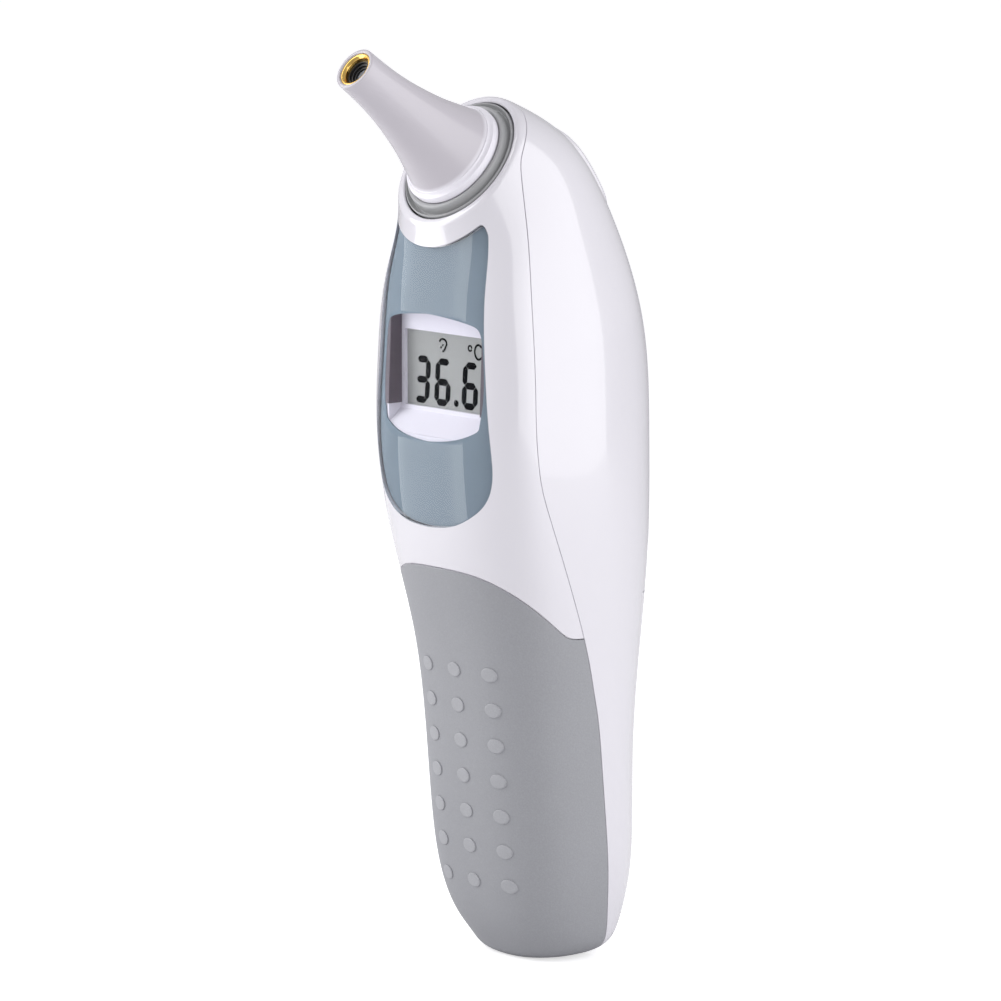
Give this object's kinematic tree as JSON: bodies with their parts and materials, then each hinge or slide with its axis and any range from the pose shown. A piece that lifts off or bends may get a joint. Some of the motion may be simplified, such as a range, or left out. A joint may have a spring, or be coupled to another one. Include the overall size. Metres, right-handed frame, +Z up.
{
  "type": "digital ear thermometer",
  "caption": "Handheld infrared ear thermometer: tilted probe with a sprung release ring, display behind a curved cover, soft front grip, rear scan button and sliding battery door.",
  "frame": {"origin": "butt end of the handle, on the handle's axis, in the plane of symmetry", "axes": "+Z up the handle towards the head, -Y out of the display, +X to the user's left when the display faces them"},
  "size_m": [0.0372, 0.0601, 0.1506],
  "materials": {
    "shell_white": "glossy moulded ABS with a very faint cool tint",
    "grip_rubber": "soft-touch matt grey elastomer with smooth raised dots",
    "clear_cover": "clear glossy acrylic display cover",
    "print_grey": "blue-grey ink printed on the back of the cover",
    "well_white": "satin white moulding",
    "seal_dark": "dark mauve-grey foam light seal",
    "lcd_grey": "grey reflective display glass",
    "connector_pink": "silicone connector strip",
    "board_green": "solder-masked glass-epoxy board",
    "chip_black": "black moulding compound",
    "part_tan": "ceramic chip parts",
    "nozzle_grey": "satin-gloss lavender-grey moulding",
    "gold_plate": "polished gold plate",
    "infrared_window": "coated silicon window",
    "can_metal": "plated steel can",
    "ring_grey": "satin mid-grey moulding",
    "spring_steel": "nickel-plated steel",
    "flex_amber": "polyimide flex strip",
    "cell_wrap": "printed cell sleeve without any mark",
    "lead_red": "insulated lead"
  },
  "bodies": {
    "casing": {"front_shell": "shell_white", "rear_shell": "shell_white", "grip_cover": "grip_rubber", "display_cover": "clear_cover", "cover_print": "print_grey", "display_well": "well_white", "lcd_holder": "well_white", "battery_tray": "well_white", "light_seals": "seal_dark", "lcd_glass": "lcd_grey", "zebra_connector": "connector_pink", "main_board": "board_green", "sensor_board": "board_green", "switch_board": "board_green", "processor": "chip_black", "buzzer": "chip_black", "tact_switch": "chip_black", "tip_baffle": "chip_black", "board_parts": "part_tan", "probe_nozzle": "nozzle_grey", "waveguide_sleeve": "gold_plate", "sensor_leads": "gold_plate", "sensor_window": "infrared_window", "thermopile_can": "can_metal", "ring_spring": "spring_steel", "contact_springs": "spring_steel", "contact_plates": "spring_steel", "case_screws": "spring_steel", "sensor_flex": "flex_amber", "switch_flex": "flex_amber", "battery_cells": "cell_wrap", "battery_leads": "lead_red"},
    "release_ring": {"release_ring": "ring_grey"},
    "scan_button": {"scan_button": "shell_white", "switch_plunger": "chip_black"},
    "battery_door": {"battery_door": "shell_white"}
  },
  "joints": [
    {"name": "release_ring_slide", "type": "slide", "parent": "casing", "child": "release_ring", "axis": [0, 0.809, -0.5878], "range_m": [0, 0.0015], "stiffness_N_per_m": 400, "springref_m": -0.001, "deforming": ["ring_spring"]},
    {"name": "scan_button_press", "type": "slide", "parent": "casing", "child": "scan_button", "axis": [0, -0.7934, -0.6088], "range_m": [0, 0.0008], "stiffness_N_per_m": 1000, "springref_m": -0.0005},
    {"name": "battery_door_slide", "type": "slide", "parent": "casing", "child": "battery_door", "axis": [0, 0, -1], "range_m": [0, 0.012]}
  ]
}
